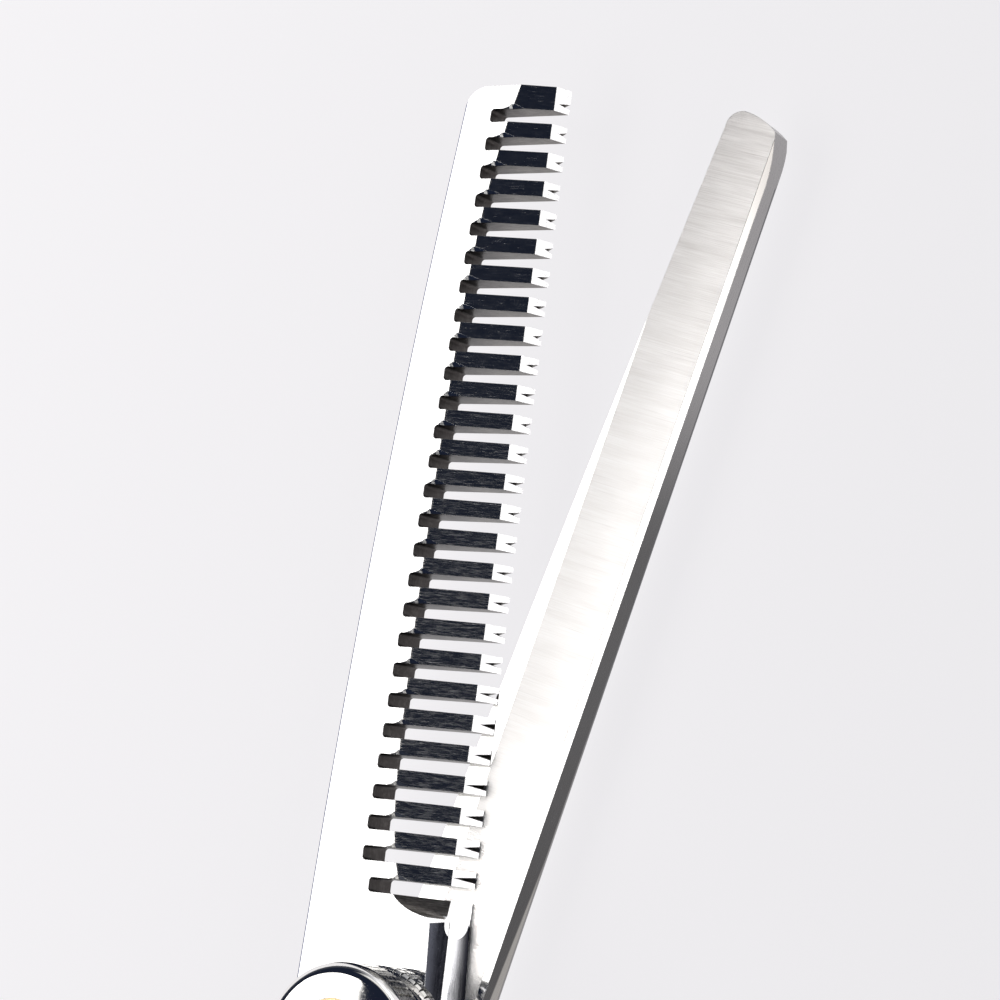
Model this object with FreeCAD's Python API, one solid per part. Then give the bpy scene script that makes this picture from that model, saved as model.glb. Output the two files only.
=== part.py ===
import FreeCAD, Part
import math
import os

# Thinning shears, about six inches: a toothed blade over a plain blade, each welded to its own
# handle, turning on one adjustable pivot.
# Row frame: origin on the pivot axis at the bolt head's flat underside, +Z up along the pivot
# axis to the tension knob, +Y along the middle line between the two blades, +X to the right.
# Each half is drawn with the shears closed, its blade along +Y, and then turned about Z by half
# of the opening. Millimetres and degrees.

V = FreeCAD.Vector
UP = V(0, 0, 1)

# ---- opening and the plane where the blades meet -------------------------------------------
OPENING = 14.2                       # angle between the halves at rest, from closed
RIDE_Z = 3.1                         # height of the plane where the two blades slide
BLADE_GAP = 0.03                     # running gap between the two inner faces
TOP_INNER = RIDE_Z + BLADE_GAP / 2   # inner face of the toothed blade
LOW_INNER = RIDE_Z - BLADE_GAP / 2   # inner face of the plain blade
STOCK = 2.9                          # blade thickness at the pivot
BOW_START_Y = 7.7                    # the outer faces are flat up to here, then fall to the tip
FAR = 80.0                           # past everything, for cutting tools
DEEP = 20.0                          # taller than everything, for cutting tools
MISSED = 0.001                       # a cutter that takes away less volume than this has failed
WELD_Y = -9.0                        # blade and handle are welded along this plane
BOSS_R = 5.9
CROSSING_R = 19.0                    # inside it each half keeps to its own side of RIDE_Z

# ---- toothed blade ------------------------------------------------------------------------
TEETH = 27
PITCH = 2.05
TOOTH_W = 1.08
SLOT_W = PITCH - TOOTH_W
SLOT_CORNER_R = 0.25
TIP_Y = 66.1                         # end of the toothed blade
TIP_CORNER_R = 1.6
FIRST_TOOTH_Y = 64.95                # centre of the tooth nearest the tip, not counting its extra width
TOOTH_TIP_X = 4.2                    # line of the tooth tips
SLOT_END_TIP_X = -0.8                # slot end nearest the tip of the blade
SLOT_END_HEEL_X = -3.0               # slot end nearest the pivot
SPINE_HEEL = (-6.9, 2.5)
SPINE_MID = (-5.32, 34.0)
SPINE_TIP = (-2.95, 64.5)
SHOULDER_MID = (-6.45, -3.6)         # the spine's outline below the pivot
SHOULDER_END = (-4.7, -9.6)
TOOTHED_TIP_T = 1.96                 # thickness at the tip
TOOTHED_MID_T = 2.72                 # thickness half way along
TOOTHED_MID_Y = 39.0
TIP_BEVEL = 61.9                     # slope of the bevel on the tooth ends
LAST_SLOT_SHORT = 0.8                # the slot nearest the pivot is this much shorter
FACET_TIP_Z = 1.1                    # height where a tooth's facet meets its bevel, at the tip
FACET_HEEL_Z = 1.6                   # and at the heel
FACET_START_X = -1.35                # the facets leave the flat face along this line, which swings
FACET_START_TIP = 2.2                # this far to the right at the first tooth
FACET_FADE_TIP = 9.0                 # within about this length
FACET_START_HEEL = 1.1               # and this far at the last tooth
FACET_FADE_HEEL = 3.5
FACET_LIFT = 0.004                   # the facet's tool starts this far above the flat face
FACET_ROLL_R = 0.9                   # rolled edge between the flat face and a facet
# rolled corner between a facet and the slot below it: distance past the facet's start, width
CORNER_ROLL = ((-0.60, 0.04), (-0.45, 0.07), (-0.2, 0.15), (0.0, 0.34), (0.9, 0.34))
CORNER_ROLL_SLOPE = 38.0
CORNER_ROLL_STEP = 0.02              # least distance from one of these to the next
NOTCH_SHARE = 0.6                    # depth of a notch at its foot over the run of the bevel
NOTCH_RISE = 0.25                    # and how much deeper it is at the heel
NOTCH_SWING = 0.16                   # the notches are filed by hand and differ by this much
NOTCH_BEAT = 1.9
NOTCH_MOUTH = 0.40
# facet below the last slot: its edge on the flat face comes up from a level line in a curve
HEEL_FACET_LEVEL_Y = 8.7
HEEL_FACET_CURVE = 1.4
HEEL_FACET_RISE = 1.2
HEEL_FACET_RIGHT_X = 2.6             # right end of that edge, where the bevel starts
HEEL_FACET_FOOT_HIGH = 1.42          # height of the facet's foot at the slot
HEEL_FACET_FOOT_LOW = 1.64           # and at its lower end
HEEL_FACET_PAST = 0.3                # how far its tool reaches past the foot
HEEL_FACET_STEPS = 8                 # sections that its surface is ruled through
# section of the edge below the teeth, from the flat face down to the inner face, at its upper
# end, at its lower end and where it has run out: x and height above the inner face
HEEL_UPPER_Y = 8.6
HEEL_UPPER = ((2.82, 2.9), (3.47, 1.36), (3.67, 1.0), (4.25, 0.0))
HEEL_OVERLAP = 0.6                   # it goes on in the same shape this far under the bevel's end
HEEL_LOWER_Y = -2.0
HEEL_LOWER = ((3.40, 2.9), (3.52, 1.36), (3.70, 1.0), (4.90, 0.0))
HEEL_RUNOUT_Y = -7.5
HEEL_RUNOUT = ((6.2, 2.9), (6.4, 1.36), (6.5, 1.0), (6.8, 0.0))
BEVEL_END_SLANT = 0.4                # the bevel ends there, a little higher up at its foot
BEVEL_END_X = 3.0
BEVEL_REACH_X = 8.0                  # past the tooth ends
HEEL_END_R = 0.92                    # round end of the tooth bevel, and where its centre lies
HEEL_END_X = 3.70
HEEL_END_Z = 0.94

# ---- plain blade --------------------------------------------------------------------------
PLAIN_SPINE_X = 4.65
PLAIN_HEEL_RIGHT = (4.65, -5.0)
PLAIN_HEEL_LEFT = (-5.0, -2.0)
PLAIN_SHOULDER = (4.65, 61.0)        # the spine starts to round in towards the tip here
PLAIN_SHOULDER_MID = (4.53, 63.3)
PLAIN_TIP_RIGHT = (3.95, 65.6)
PLAIN_TIP_TOP_MID = (2.62, 66.25)
PLAIN_TIP = (1.3, 66.5)
PLAIN_TIP_LEFT_MID = (0.44, 66.05)
PLAIN_TIP_LEFT = (0.22, 65.2)
EDGE_HEEL = (-2.6, 7.5)
EDGE_MID = (-1.28, 38.0)
EDGE_TIP = (0.12, 63.6)
PLAIN_TIP_T = 1.9
PLAIN_MID_T = 2.35
PLAIN_MID_Y = 39.0
EDGE_BEVEL = 48.0                    # slope of the outside face of the cutting edge
EDGE_LAND = 0.12                     # upright land left at the cutting edge
EDGE_CLEAR = 3.0                     # how far the wedge that cuts it reaches past the blade
SPINE_ROUND_R = 0.9                  # rounding of the plain blade's outer spine corner
SPINE_ROUND_Y = -2.0                 # and where it starts
SPINE_ROUND_TURN = 0.63              # it follows the blade's thinning to the tip
HONE_X = -0.57                       # inner limit of the ride line along the cutting edge
SPINE_RIDE_W = 0.55                  # ride line along the spine
HOLLOW_DEPTH = 0.05                  # hollow grind of both inner faces
HOLLOW_HEEL_Y = 8.5
TOOTHED_HOLLOW_X = (-5.6, 3.3)

# ---- handles ------------------------------------------------------------------------------
RING_R = 13.6                        # centre line of a finger ring's bar
RING_BAR_W = 2.0                     # half width of that bar
RING_BAR_H = 2.8                     # half height of that bar
RING_SEAT_R = 12.0                   # straight wall inside the ring for its liner
THUMB_RING = (16.4, -61.0)
FINGER_RING = (-16.4, -69.0)
SHANK_Z = 3.0                        # middle height of the shank at the pivot end
SHANK_ROUND = 0.36                   # corner radius of a shank section over its smaller side
# shank stations for the thumb handle: x, y, width, height; the finger handle mirrors them and
# stretches them along Y
SHANK = (
    (0.0, 1.0, 9.6, 5.96),
    (0.5, -4.5, 11.2, 5.96),
    (1.3, -10.0, 11.2, 5.96),
    (5.0, -19.5, 7.2, 5.9),
    (5.0, -30.0, 6.2, 5.8),
    (4.7, -43.0, 4.9, 5.6),
    (4.9, -53.5, 4.0, 5.0),
)
LINER_BORE_R = 10.5
LINER_HALF_H = 2.1
LINER_LIP_R = 12.0
LINER_ROLL = 0.5                     # rolled inner edges of a liner

# ---- bumper and finger rest ----------------------------------------------------------------
BUMPER_Y = -57.5
BUMPER_R = 2.1
BUMPER_SEAT_X = -1.35                # flat on the finger handle that the bumper stands on
BUMPER_BOSS_R = 2.4
BUMPER_BOSS_LEN = 3.2
BUMPER_THICK = 2.1
BUMPER_ROUND = 0.6
BUMPER_Z = 2.8
STUD_R = 0.8
STUD_IN = 1.4
STUD_OUT = 1.2
REST_TURN = 258.0                    # where the finger rest stands on the finger ring
REST_BOSS_R = 2.3
REST_STUD_R = 1.25
REST_STUD_IN = 2.2
REST_STUD_OUT = 3.0
REST_SEAT_IN = 0.35                  # depth of the flat it stands on
# stations of the finger rest: reach from its foot, sideways bend, radius
REST = (
    (0.0, 0.0, 2.3),
    (4.5, -0.2, 1.75),
    (9.5, -1.7, 1.6),
    (14.5, -4.9, 1.5),
    (18.5, -9.0, 1.45),
)
REST_BALL_R = 1.9

# ---- pivot --------------------------------------------------------------------------------
BOLT_R = 2.25
BOLT_HEAD_R = 4.2
BOLT_HEAD_T = 1.2
BOLT_FLAT = 3.3                      # half distance between the keyed flats of the head
BOLT_THREAD_R = 1.95
BOLT_TOP = RIDE_Z + 7.5
RUN = 0.03                           # radial running clearance
WASHER_R = 4.4
WASHER_T = 0.5
BUSH_R = 3.0
BUSH_FLANGE_R = 3.35
BUSH_FLANGE_T = 0.35
DECK_Z = RIDE_Z + STOCK              # top face of the toothed blade at the pivot
RACE_IN_R = 2.5
RACE_OUT_R = 4.15
RACE_T = 0.3
BALL_R = 0.4
BALL_PLAY = 0.02
BALLS = 10
BALL_CIRCLE_R = 3.35
CAGE_T = 0.4
CAGE_HOLE_R = 0.44
SPRING_T = 0.35
DETENT_IN_R = 4.3
DETENT_OUT_R = 5.45
DETENT_T = 1.0
DETENT_EASE = 0.15                   # chamfer of its edges
KNOB_R = 5.45
KNOB_WAIST_R = 4.9
KNOB_BOTTOM = DECK_Z + 1.08
KNOB_RIM_LOW = RIDE_Z + 5.4
KNOB_RIM_TOP = RIDE_Z + 7.5          # the ribbed rim ends here in a rounding
KNOB_SHOULDER_R = 4.5                # which meets the slightly domed crown here
KNOB_SHOULDER_Z = RIDE_Z + 8.6
KNOB_SHOULDER_MID = (5.17, RIDE_Z + 8.27)
KNOB_CROWN_Z = RIDE_Z + 8.79
KNOB_CROWN_MID = (3.87, RIDE_Z + 8.705)
KNOB_RECESS_R = 3.0
KNOB_RECESS_Z = RIDE_Z + 8.2
KNOB_CHAMBER_R = 4.25
RIBS = 56
RIB_DEPTH = 0.28
RIB_SHARE = 0.62                     # share of the rim that the grooves take at its outside
CAP_R = 2.98
CAP_HOLE_R = 1.9
CAP_T = 0.55
SCREW_HEAD_R = 1.8
SCREW_HEAD_T = 0.7
SCREW_SHANK_R = 0.8
SCREW_LEN = 2.6
SCREW_SLOT_W = 0.35
SCREW_SLOT_TURN = 35.0


def clamped(value):
    return max(0.0, min(1.0, value))


def vertical(radius, low, high, x=0.0, y=0.0):
    return Part.makeCylinder(radius, high - low, V(x, y, low), UP)


def ring_disc(outer, inner, low, high):
    return vertical(outer, low, high).cut(vertical(inner, low - 1, high + 1))


def block(low, high):
    size = V(*high) - V(*low)
    return Part.makeBox(size.x, size.y, size.z, V(*low))


def prism(points, low, high):
    corners = [V(x, y, low) for x, y in points]
    wire = Part.makePolygon(corners + corners[:1])
    return Part.Face(wire).extrude(V(0, 0, high - low))


def turned(points, bulges=()):
    """A solid of revolution; bulges pairs a side's number with a point that its arc goes through."""
    corners = [V(r, 0, z) for r, z in points]
    arcs = dict(bulges)
    edges = []
    for index, start in enumerate(corners):
        end = corners[(index + 1) % len(corners)]
        if index in arcs:
            r, z = arcs[index]
            edges.append(Part.Arc(start, V(r, 0, z), end).toShape())
        else:
            edges.append(Part.makeLine(start, end))
    return Part.Face(Part.Wire(edges)).revolve(V(0, 0, 0), UP, 360)


def arc(start, middle, end, z):
    return Part.Arc(V(*start, z), V(*middle, z), V(*end, z)).toShape()


def line(start, end, z):
    return Part.makeLine(V(*start, z), V(*end, z))


def extruded(edges, height):
    return Part.Face(Part.Wire(edges)).extrude(V(0, 0, height))


def side_profile(inner, outer_heel, outer_mid, outer_tip, mid_y, tip_y):
    """A slab between the flat inner face and a slightly bowed outer face, seen from the side."""
    heel = -FAR
    start = V(-FAR, BOW_START_Y, outer_heel)
    middle = V(-FAR, mid_y, outer_mid)
    end = V(-FAR, tip_y, outer_tip)
    edges = [
        Part.makeLine(V(-FAR, heel, inner), V(-FAR, heel, outer_heel)),
        Part.makeLine(V(-FAR, heel, outer_heel), start),
        Part.Arc(start, middle, end).toShape(),
        Part.makeLine(end, V(-FAR, tip_y, inner)),
        Part.makeLine(V(-FAR, tip_y, inner), V(-FAR, heel, inner)),
    ]
    return Part.Face(Part.Wire(edges)).extrude(V(2 * FAR, 0, 0))


def hollow(left, right, inner, side):
    """The cylinder that hollow-grinds an inner face between x = left and x = right."""
    half = (right - left) / 2
    radius = (half * half + HOLLOW_DEPTH * HOLLOW_DEPTH) / (2 * HOLLOW_DEPTH)
    centre_z = inner + side * (radius - HOLLOW_DEPTH)
    return Part.makeCylinder(radius, FAR, V(left + half, HOLLOW_HEEL_Y, centre_z), V(0, 1, 0))


# ---- toothed blade ------------------------------------------------------------------------
def tooth_y(number):
    return FIRST_TOOTH_Y - (number - 1) * PITCH


def along_teeth(y):
    """0 at the tooth nearest the pivot, 1 at the tooth nearest the tip."""
    return clamped((y - tooth_y(TEETH)) / (tooth_y(1) - tooth_y(TEETH)))


def slot_end_x(y):
    return SLOT_END_HEEL_X + (SLOT_END_TIP_X - SLOT_END_HEEL_X) * along_teeth(y)


def slot_left(number):
    """Inner end of the slot below a tooth."""
    return slot_end_x(tooth_y(number) - PITCH / 2) + (LAST_SLOT_SHORT if number == TEETH else 0)


def outer_z(y):
    """Height of the bowed outer face of the toothed blade at y."""
    y1, y2, y3 = BOW_START_Y, TOOTHED_MID_Y, TIP_Y
    z1, z2, z3 = DECK_Z, TOP_INNER + TOOTHED_MID_T, TOP_INNER + TOOTHED_TIP_T
    first = (y2 * y2 - y1 * y1 + z2 * z2 - z1 * z1) / 2
    second = (y3 * y3 - y1 * y1 + z3 * z3 - z1 * z1) / 2
    base = (y2 - y1) * (z3 - z1) - (y3 - y1) * (z2 - z1)
    centre_y = (first * (z3 - z1) - second * (z2 - z1)) / base
    centre_z = ((y2 - y1) * second - (y3 - y1) * first) / base
    radius = math.hypot(y1 - centre_y, z1 - centre_z)
    return centre_z + math.sqrt(radius * radius - (y - centre_y) ** 2)


def facet_z(y):
    return TOP_INNER + FACET_HEEL_Z + (FACET_TIP_Z - FACET_HEEL_Z) * along_teeth(y)


def facet_start(y):
    tip_swing = FACET_START_TIP * math.exp((y - tooth_y(1)) / FACET_FADE_TIP)
    heel_swing = FACET_START_HEEL * math.exp((tooth_y(TEETH) - y) / FACET_FADE_HEEL)
    return max(FACET_START_X + tip_swing + heel_swing, slot_end_x(y))


def toothed_outline():
    corner = TIP_CORNER_R
    bend = corner * (1 - math.sqrt(0.5))
    left = SPINE_TIP[0]
    edges = [
        arc(SPINE_HEEL, SPINE_MID, SPINE_TIP, TOP_INNER),
        arc(SPINE_TIP, (left + bend, TIP_Y - bend), (left + corner, TIP_Y), TOP_INNER),
        line((left + corner, TIP_Y), (TOOTH_TIP_X, TIP_Y), TOP_INNER),
        line((TOOTH_TIP_X, TIP_Y), (TOOTH_TIP_X, HEEL_UPPER_Y), TOP_INNER),
        line((TOOTH_TIP_X, HEEL_UPPER_Y), (HEEL_LOWER[-1][0], HEEL_LOWER_Y), TOP_INNER),
        line((HEEL_LOWER[-1][0], HEEL_LOWER_Y), SHOULDER_END, TOP_INNER),
        arc(SHOULDER_END, SHOULDER_MID, SPINE_HEEL, TOP_INNER),
    ]
    return extruded(edges, DEEP)


def slot(number):
    """One open slot below a tooth, its inner end rounded at both corners."""
    middle = tooth_y(number) - PITCH / 2
    low = middle - SLOT_W / 2
    high = middle + SLOT_W / 2
    left = slot_left(number)
    round_r = SLOT_CORNER_R
    bend = round_r * (1 - math.sqrt(0.5))
    edges = [
        line((FAR, low), (left + round_r, low), 0),
        arc((left + round_r, low), (left + bend, low + bend), (left, low + round_r), 0),
        line((left, low + round_r), (left, high - round_r), 0),
        arc((left, high - round_r), (left + bend, high - bend), (left + round_r, high), 0),
        line((left + round_r, high), (FAR, high), 0),
        line((FAR, high), (FAR, low), 0),
    ]
    return extruded(edges, DEEP)


def facet_section(y):
    """Section of the facets' tool: an arc off the flat face, then straight down past the bevel."""
    start_x = facet_start(y)
    start_z = outer_z(y) + FACET_LIFT
    end_z = facet_z(y)
    end_x = TOOTH_TIP_X - (end_z - TOP_INNER) / math.tan(math.radians(TIP_BEVEL))
    centre_z = start_z - FACET_ROLL_R
    reach = math.hypot(end_x - start_x, end_z - centre_z)
    turn = math.atan2(end_z - centre_z, end_x - start_x) + math.acos(FACET_ROLL_R / reach)
    centre = V(start_x, y, centre_z)
    points = []
    for angle in (math.pi / 2, (math.pi / 2 + turn) / 2, turn):
        points.append(centre + V(math.cos(angle), 0, math.sin(angle)) * FACET_ROLL_R)
    far_x = TOOTH_TIP_X + SLOT_W / 4
    slope = (end_z - points[2].z) / (end_x - points[2].x)
    foot = V(far_x, y, end_z + slope * (far_x - end_x))
    above_far = V(far_x, y, DEEP)
    above_start = V(start_x, y, DEEP)
    return Part.Wire([
        Part.Arc(*points).toShape(),
        Part.makeLine(points[2], foot),
        Part.makeLine(foot, above_far),
        Part.makeLine(above_far, above_start),
        Part.makeLine(above_start, points[0]),
    ])


def facet_cut(number):
    """The facet on top of one tooth."""
    y = tooth_y(number)
    slack = SLOT_W / 4
    low = y - TOOTH_W / 2 - slack
    high = y + TOOTH_W / 2 + slack
    if number == 1:
        high = TIP_Y + slack
    return Part.makeLoft([facet_section(low), facet_section(high)], True, True)


def corner_roll(number):
    """Rolls the flat face over into the slot below a tooth, wider towards its facet."""
    low = tooth_y(number) - TOOTH_W / 2
    top = outer_z(low) + FACET_LIFT
    slack = SLOT_W / 4
    slope = math.tan(math.radians(CORNER_ROLL_SLOPE))
    start_x = facet_start(low)
    straight_x = slot_left(number) + SLOT_CORNER_R
    wires = []
    for index, (past, width) in enumerate(CORNER_ROLL):
        x = max(start_x + past, straight_x + CORNER_ROLL_STEP * index)
        corners = [V(x, low - slack, top), V(x, low + width, top)]
        corners.append(V(x, low - slack, top - (width + slack) * slope))
        wires.append(Part.makePolygon(corners + corners[:1]))
    return Part.makeLoft(wires, True, True)


def notch(number):
    """The fine V in the end of a tooth that holds the hair."""
    y = tooth_y(number)
    share = NOTCH_SHARE + NOTCH_RISE * (1 - along_teeth(y)) + NOTCH_SWING * math.sin(NOTCH_BEAT * number)
    bevel_run = (facet_z(y) - TOP_INNER) / math.tan(math.radians(TIP_BEVEL))
    depth = share * bevel_run
    mouth = NOTCH_MOUTH * 2
    points = (
        (TOOTH_TIP_X - depth, y),
        (TOOTH_TIP_X + depth, y - mouth / 2),
        (TOOTH_TIP_X + depth, y + mouth / 2),
    )
    return prism(points, 0, DEEP)


def tip_bevel():
    """The steep bevel along all the tooth ends, with a round end at the heel."""
    run = DEEP / math.tan(math.radians(TIP_BEVEL))
    corners = []
    for x, z in ((TOOTH_TIP_X, 0), (TOOTH_TIP_X - run, DEEP), (BEVEL_REACH_X, DEEP), (BEVEL_REACH_X, 0)):
        y = HEEL_UPPER_Y + BEVEL_END_SLANT * (x - BEVEL_END_X)
        corners.append(V(x, y, TOP_INNER + z))
    bevel = Part.Face(Part.makePolygon(corners + corners[:1])).extrude(V(0, FAR, 0))
    tilt = math.radians(TIP_BEVEL)
    centre = V(HEEL_END_X, HEEL_UPPER_Y, TOP_INNER + HEEL_END_Z)
    end = Part.makeCylinder(HEEL_END_R, DEEP, centre, V(math.sin(tilt), 0, math.cos(tilt)))
    return bevel.fuse(end)


def heel_edge():
    """Takes away what stands outside the edge's section below the teeth."""
    wires = []
    sections = (
        (HEEL_UPPER, HEEL_UPPER_Y + HEEL_OVERLAP),
        (HEEL_UPPER, HEEL_UPPER_Y),
        (HEEL_LOWER, HEEL_LOWER_Y),
        (HEEL_RUNOUT, HEEL_RUNOUT_Y),
    )
    for section, y in sections:
        corners = [V(x, y, TOP_INNER + z) for x, z in section]
        corners.append(V(FAR, y, TOP_INNER))
        corners.append(V(FAR, y, DEEP))
        corners.append(V(section[0][0], y, DEEP))
        wires.append(Part.makePolygon(corners + corners[:1]))
    return Part.makeLoft(wires, True, True)


def heel_facet():
    """The dull facet that the wheel leaves below the last slot, ruled from its edge to its foot."""
    low_y = HEEL_FACET_LEVEL_Y + HEEL_FACET_RISE * math.exp(-HEEL_FACET_RIGHT_X / HEEL_FACET_CURVE)
    high_y = tooth_y(TEETH) - PITCH / 2
    wires = []
    for step in range(HEEL_FACET_STEPS + 1):
        share = (step / HEEL_FACET_STEPS) ** 2
        y = low_y + (high_y - low_y) * share
        start_x = -HEEL_FACET_CURVE * math.log((y - HEEL_FACET_LEVEL_Y) / HEEL_FACET_RISE)
        foot_z = HEEL_FACET_FOOT_HIGH + (HEEL_FACET_FOOT_LOW - HEEL_FACET_FOOT_HIGH) * (1 - share)
        start = V(start_x, y, DECK_Z + FACET_LIFT)
        foot = V(TOOTH_TIP_X - foot_z / math.tan(math.radians(TIP_BEVEL)), y, TOP_INNER + foot_z)
        past = foot + (foot - start).normalize() * HEEL_FACET_PAST
        corners = [start, past, V(past.x, y, DEEP), V(start_x, y, DEEP)]
        wires.append(Part.makePolygon(corners + corners[:1]))
    return Part.makeLoft(wires, True, True)


def toothed_blade_body():
    side = side_profile(TOP_INNER, DECK_Z, TOP_INNER + TOOTHED_MID_T, TOP_INNER + TOOTHED_TIP_T,
                        TOOTHED_MID_Y, TIP_Y)
    body = toothed_outline().common(side)
    cutters = [tip_bevel(), heel_edge(), heel_facet(), hollow(*TOOTHED_HOLLOW_X, TOP_INNER, -1)]
    for number in range(1, TEETH + 1):
        cutters.append(slot(number))
        cutters.append(facet_cut(number))
        cutters.append(corner_roll(number))
        cutters.append(notch(number))
    for cutter in cutters:
        smaller = body.cut(cutter)
        assert body.Volume - smaller.Volume > MISSED, "a cutter left no mark on the toothed blade"
        body = smaller
    return body


# ---- plain blade --------------------------------------------------------------------------
def plain_outline():
    z = LOW_INNER - DEEP
    edges = [
        line(PLAIN_HEEL_RIGHT, PLAIN_SHOULDER, z),
        arc(PLAIN_SHOULDER, PLAIN_SHOULDER_MID, PLAIN_TIP_RIGHT, z),
        arc(PLAIN_TIP_RIGHT, PLAIN_TIP_TOP_MID, PLAIN_TIP, z),
        arc(PLAIN_TIP, PLAIN_TIP_LEFT_MID, PLAIN_TIP_LEFT, z),
        line(PLAIN_TIP_LEFT, EDGE_TIP, z),
        arc(EDGE_TIP, EDGE_MID, EDGE_HEEL, z),
        line(EDGE_HEEL, PLAIN_HEEL_LEFT, z),
        line(PLAIN_HEEL_LEFT, PLAIN_HEEL_RIGHT, z),
    ]
    return extruded(edges, DEEP)


def edge_bevel():
    """The outside slope that leaves the plain blade a cutting edge."""
    start = V(*EDGE_HEEL, LOW_INNER)
    along = V(*EDGE_TIP, LOW_INNER) - start
    across = UP.cross(along).normalize()
    run = DEEP / math.tan(math.radians(EDGE_BEVEL))
    corners = [
        start + across * EDGE_CLEAR - UP * EDGE_LAND,
        start - UP * EDGE_LAND,
        start - UP * (DEEP + EDGE_LAND) - across * run,
        start + across * EDGE_CLEAR - UP * (DEEP + EDGE_LAND),
    ]
    return Part.Face(Part.makePolygon(corners + corners[:1])).extrude(along * 2)


def spine_round():
    """Rounds the outer corner of the plain blade's spine."""
    low = RIDE_Z - STOCK
    size = SPINE_ROUND_R
    start_y = SPINE_ROUND_Y
    corner = block((PLAIN_SPINE_X - size, start_y, low - 1), (PLAIN_SPINE_X + 1, FAR, low + size))
    rod = Part.makeCylinder(size, FAR, V(PLAIN_SPINE_X - size, start_y, low + size), V(0, 1, 0))
    tool = corner.cut(rod)
    tool.rotate(V(PLAIN_SPINE_X, start_y, low), V(1, 0, 0), SPINE_ROUND_TURN)
    return tool


def plain_blade_body():
    side = side_profile(LOW_INNER, RIDE_Z - STOCK, LOW_INNER - PLAIN_MID_T, LOW_INNER - PLAIN_TIP_T,
                        PLAIN_MID_Y, FAR)
    body = plain_outline().common(side)
    body = body.cut(hollow(HONE_X, PLAIN_SPINE_X - SPINE_RIDE_W, LOW_INNER, 1))
    body = body.cut(edge_bevel())
    return body.cut(spine_round())


# ---- handles ------------------------------------------------------------------------------
def shank_section(station, heading):
    """A rounded upright rectangle across the shank, at right angles to its heading in plan."""
    x, y, width, height = station
    radius = SHANK_ROUND * min(width, height)
    half_w = width / 2 - radius
    half_h = height / 2 - radius
    edges = []
    quarter = math.sqrt(0.5)
    corners = ((half_w, half_h, 0), (-half_w, half_h, 90), (-half_w, -half_h, 180), (half_w, -half_h, 270))
    ends = []
    for cx, cz, turn in corners:
        angle = math.radians(turn)
        c, s = math.cos(angle), math.sin(angle)
        first = V(cx + radius * c, 0, cz + radius * s)
        middle = V(cx + radius * quarter * (c - s), 0, cz + radius * quarter * (s + c))
        last = V(cx - radius * s, 0, cz + radius * c)
        edges.append(Part.Arc(first, middle, last).toShape())
        ends.append((first, last))
    sides = [Part.makeLine(ends[i][1], ends[(i + 1) % 4][0]) for i in range(4)]
    loop = [edge for pair in zip(edges, sides) for edge in pair]
    wire = Part.Wire(loop)
    wire.rotate(V(0, 0, 0), UP, heading)
    wire.translate(V(x, y, SHANK_Z - (SHANK[0][3] - height) / 2))
    return wire


def shank(ring_centre, side):
    """Side is +1 for the thumb handle on the right, -1 for the finger handle on the left."""
    stretch = (ring_centre[1] - THUMB_RING[1]) / (SHANK[-1][1] - SHANK[2][1])
    stations = []
    for x, y, width, height in SHANK:
        extra = stretch * min(0.0, y - SHANK[2][1])
        stations.append((side * x, y + extra, width, height))
    wires = []
    for index, station in enumerate(stations):
        before = stations[max(index - 1, 0)]
        after = stations[min(index + 1, len(stations) - 1)]
        heading = math.degrees(math.atan2(before[1] - after[1], before[0] - after[0])) - 90
        wires.append(shank_section(station, heading))
    return Part.makeLoft(wires, True, False)


def finger_ring(centre):
    middle = V(RING_R, 0, RING_BAR_H)
    bar = Part.Ellipse(middle + V(0, 0, RING_BAR_H), middle + V(RING_BAR_W, 0, 0), middle)
    ring = Part.Face(Part.Wire([bar.toShape()])).revolve(V(0, 0, 0), UP, 360)
    ring = ring.cut(vertical(RING_SEAT_R, -1, DEEP))
    ring.translate(V(*centre, 0))
    return ring


def crossing_relief(side):
    """Clears the other half's side of the sliding plane around the pivot."""
    if side > 0:
        return vertical(CROSSING_R, -DEEP, TOP_INNER)
    return vertical(CROSSING_R, LOW_INNER, DEEP)


def pivot_boss(side):
    if side > 0:
        return vertical(BOSS_R, TOP_INNER, DECK_Z).cut(heel_edge())
    return vertical(BOSS_R, RIDE_Z - STOCK, LOW_INNER)


def forged_half(blade, ring_centre, side, extra=()):
    whole = shank(ring_centre, side)
    whole = whole.cut(vertical(RING_SEAT_R, -1, DEEP, *ring_centre))
    whole = whole.fuse([blade, pivot_boss(side), finger_ring(ring_centre), *extra])
    return whole.cut(crossing_relief(side)).removeSplitter()


def split_at_weld(half):
    blade_side = block((-FAR, WELD_Y, -DEEP), (FAR, FAR, DEEP))
    handle_side = block((-FAR, -2 * FAR, -DEEP), (FAR, WELD_Y, DEEP))
    return half.common(blade_side), half.common(handle_side)


def liner(centre):
    """Soft sizing ring pressed into a finger ring, with rolled edges and a straight bore."""
    low = RING_BAR_H - LINER_HALF_H
    high = RING_BAR_H + LINER_HALF_H
    roll = LINER_ROLL
    points = (
        (LINER_BORE_R, low + roll),
        (LINER_BORE_R + roll, low),
        (LINER_LIP_R - roll / 2, low),
        (LINER_LIP_R, low + roll / 2),
        (LINER_LIP_R, high - roll / 2),
        (LINER_LIP_R - roll / 2, high),
        (LINER_BORE_R + roll, high),
        (LINER_BORE_R, high - roll),
    )
    ring = turned(points)
    ring.translate(V(*centre, 0))
    return ring


# ---- bumper and finger rest ----------------------------------------------------------------
def bumper_axis_start():
    return V(BUMPER_SEAT_X, BUMPER_Y, BUMPER_Z)


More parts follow.
